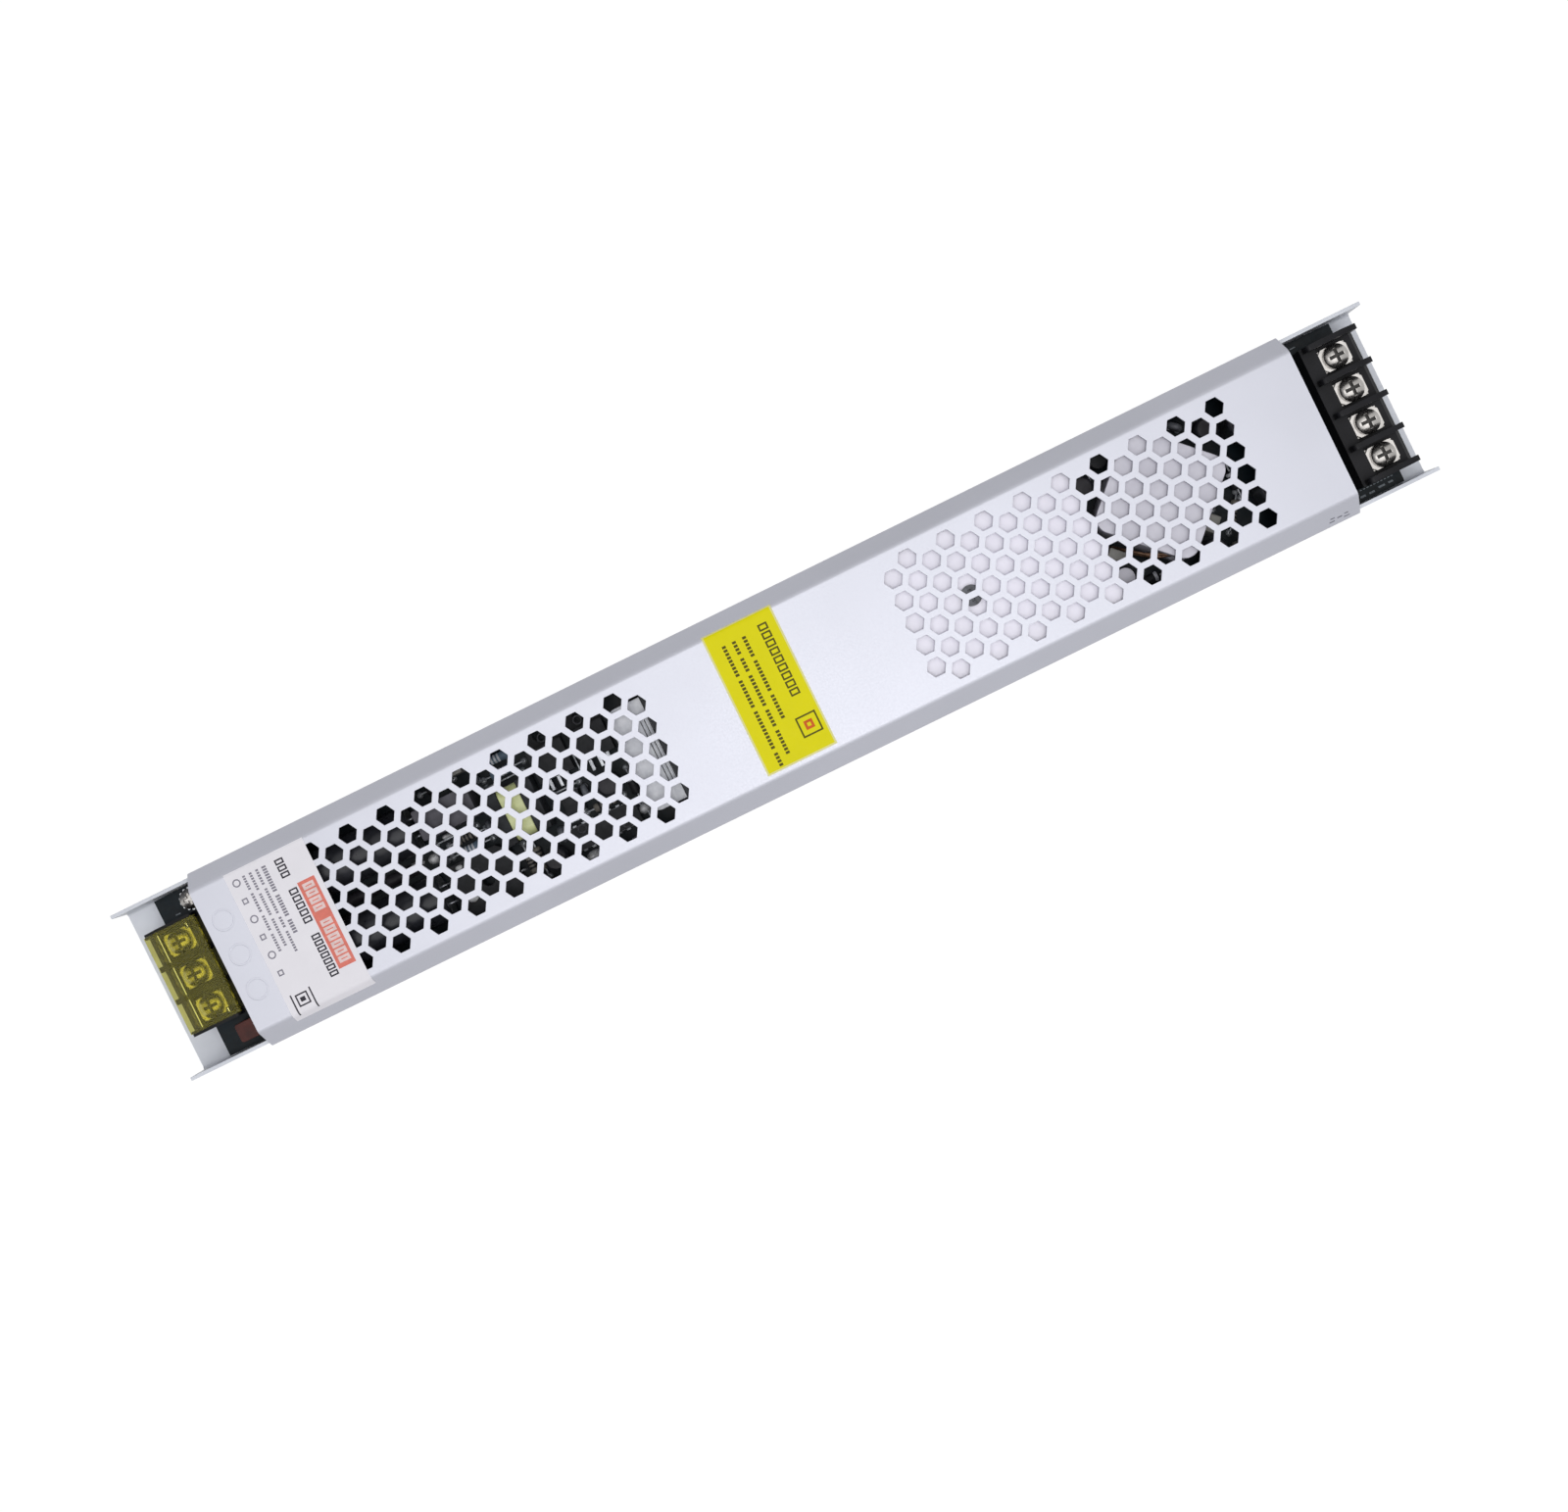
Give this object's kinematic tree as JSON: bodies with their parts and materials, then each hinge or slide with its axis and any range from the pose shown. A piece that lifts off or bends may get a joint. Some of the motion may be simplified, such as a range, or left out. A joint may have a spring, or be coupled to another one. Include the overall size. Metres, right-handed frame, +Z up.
{
  "type": "led power supply",
  "caption": "Slim strip power supply: folded aluminium channel, perforated folded cover, screw terminals at both ends, hinged clear flap over the input.",
  "frame": {"origin": "centre of the underside of the base channel", "axes": "+X along the case towards the output terminals, +Y across the case, +Z up out of the cover"},
  "size_m": [0.365, 0.0506, 0.021],
  "materials": {
    "case_aluminium": "satin silver anodised sheet",
    "cover_aluminium": "satin silver anodised sheet",
    "zinc_steel": "zinc plated",
    "nickel": "nickel plated, slightly warm",
    "brass": "turned",
    "insulator": "thin film",
    "board": "dark solder mask with white print",
    "terminal_plastic": "moulded, fine texture",
    "flap_plastic": "clear olive yellow",
    "fuse_red": "moulded",
    "part_black": "moulded epoxy",
    "sleeve_black": "shrunk sleeve",
    "disc_blue": "dipped coating",
    "disc_green": "dipped coating",
    "film_yellow": "moulded case",
    "film_grey": "moulded case",
    "ferrite": "sintered, matt",
    "copper": "enamelled wire",
    "tape_lime": "polyester tape",
    "tape_grey": "polyester tape",
    "pot_ferrite": "painted pale grey",
    "resistor": "lacquer"
  },
  "bodies": {
    "case": {"base_channel": "case_aluminium", "top_cover": "cover_aluminium", "cover_screws": "zinc_steel", "insulating_sheet": "insulator", "board_standoffs": "brass", "circuit_board": "board", "board_washers": "zinc_steel", "board_screws": "zinc_steel", "input_terminal_block": "terminal_plastic", "input_contact_plates": "nickel", "output_terminal_block": "terminal_plastic", "output_contact_plates": "nickel", "fuse": "fuse_red", "thermistor": "disc_green", "varistor": "disc_blue", "x_capacitor": "film_yellow", "y_capacitors": "disc_blue", "mains_choke_core": "ferrite", "mains_choke_windings": "copper", "bulk_capacitors": "sleeve_black", "bleed_resistors": "resistor", "bridge_rectifier": "part_black", "coupling_capacitor": "film_grey", "main_switches": "part_black", "driver_core": "ferrite", "driver_winding": "tape_lime", "control_chip": "part_black", "optocoupler": "part_black", "small_capacitors": "sleeve_black", "main_core": "ferrite", "main_winding": "tape_grey", "main_bobbin": "part_black", "heat_spreader": "case_aluminium", "spreader_post": "brass", "spreader_screw": "zinc_steel", "output_rectifiers": "part_black", "output_choke_core": "pot_ferrite", "output_choke_winding": "copper", "output_capacitors": "sleeve_black"},
    "flap": {"input_flap": "flap_plastic"},
    "input_clamp_1": {"input_clamp_1": "nickel"},
    "input_screw_1": {"input_screw_1": "nickel"},
    "input_clamp_2": {"input_clamp_2": "nickel"},
    "input_screw_2": {"input_screw_2": "nickel"},
    "input_clamp_3": {"input_clamp_3": "nickel"},
    "input_screw_3": {"input_screw_3": "nickel"},
    "output_clamp_1": {"output_clamp_1": "nickel"},
    "output_screw_1": {"output_screw_1": "nickel"},
    "output_clamp_2": {"output_clamp_2": "nickel"},
    "output_screw_2": {"output_screw_2": "nickel"},
    "output_clamp_3": {"output_clamp_3": "nickel"},
    "output_screw_3": {"output_screw_3": "nickel"},
    "output_clamp_4": {"output_clamp_4": "nickel"},
    "output_screw_4": {"output_screw_4": "nickel"}
  },
  "joints": [
    {"name": "flap_hinge", "type": "hinge", "parent": "case", "child": "flap", "pos_m": [-0.1632, 0, 0.0154], "axis": [0, 1, 0], "range_deg": [0, 95]},
    {"name": "input_clamp_1_lift", "type": "slide", "parent": "case", "child": "input_clamp_1", "axis": [0, 0, 1], "range_m": [0, 0.0024]},
    {"name": "input_screw_1_turn", "type": "hinge", "parent": "input_clamp_1", "child": "input_screw_1", "pos_m": [-0.1694, -0.00875, 0.0106], "axis": [0, 0, 1], "range_deg": [0, 1440.01]},
    {"name": "input_clamp_2_lift", "type": "slide", "parent": "case", "child": "input_clamp_2", "axis": [0, 0, 1], "range_m": [0, 0.0024]},
    {"name": "input_screw_2_turn", "type": "hinge", "parent": "input_clamp_2", "child": "input_screw_2", "pos_m": [-0.1694, 0.00075, 0.0106], "axis": [0, 0, 1], "range_deg": [0, 1440.01]},
    {"name": "input_clamp_3_lift", "type": "slide", "parent": "case", "child": "input_clamp_3", "axis": [0, 0, 1], "range_m": [0, 0.0024]},
    {"name": "input_screw_3_turn", "type": "hinge", "parent": "input_clamp_3", "child": "input_screw_3", "pos_m": [-0.1694, 0.01025, 0.0106], "axis": [0, 0, 1], "range_deg": [0, 1440.01]},
    {"name": "output_clamp_1_lift", "type": "slide", "parent": "case", "child": "output_clamp_1", "axis": [0, 0, 1], "range_m": [0, 0.0024]},
    {"name": "output_screw_1_turn", "type": "hinge", "parent": "output_clamp_1", "child": "output_screw_1", "pos_m": [0.1715, -0.01425, 0.0106], "axis": [0, 0, 1], "range_deg": [0, 1440.01]},
    {"name": "output_clamp_2_lift", "type": "slide", "parent": "case", "child": "output_clamp_2", "axis": [0, 0, 1], "range_m": [0, 0.0024]},
    {"name": "output_screw_2_turn", "type": "hinge", "parent": "output_clamp_2", "child": "output_screw_2", "pos_m": [0.1715, -0.00475, 0.0106], "axis": [0, 0, 1], "range_deg": [0, 1440.01]},
    {"name": "output_clamp_3_lift", "type": "slide", "parent": "case", "child": "output_clamp_3", "axis": [0, 0, 1], "range_m": [0, 0.0024]},
    {"name": "output_screw_3_turn", "type": "hinge", "parent": "output_clamp_3", "child": "output_screw_3", "pos_m": [0.1715, 0.00475, 0.0106], "axis": [0, 0, 1], "range_deg": [0, 1440.01]},
    {"name": "output_clamp_4_lift", "type": "slide", "parent": "case", "child": "output_clamp_4", "axis": [0, 0, 1], "range_m": [0, 0.0024]},
    {"name": "output_screw_4_turn", "type": "hinge", "parent": "output_clamp_4", "child": "output_screw_4", "pos_m": [0.1715, 0.01425, 0.0106], "axis": [0, 0, 1], "range_deg": [0, 1440.01]}
  ],
  "couplings": [
    {"joint": "input_screw_1_turn", "follows": "input_clamp_1_lift", "rad_per_m": 10472},
    {"joint": "input_screw_2_turn", "follows": "input_clamp_2_lift", "rad_per_m": 10472},
    {"joint": "input_screw_3_turn", "follows": "input_clamp_3_lift", "rad_per_m": 10472},
    {"joint": "output_screw_1_turn", "follows": "output_clamp_1_lift", "rad_per_m": 10472},
    {"joint": "output_screw_2_turn", "follows": "output_clamp_2_lift", "rad_per_m": 10472},
    {"joint": "output_screw_3_turn", "follows": "output_clamp_3_lift", "rad_per_m": 10472},
    {"joint": "output_screw_4_turn", "follows": "output_clamp_4_lift", "rad_per_m": 10472}
  ]
}
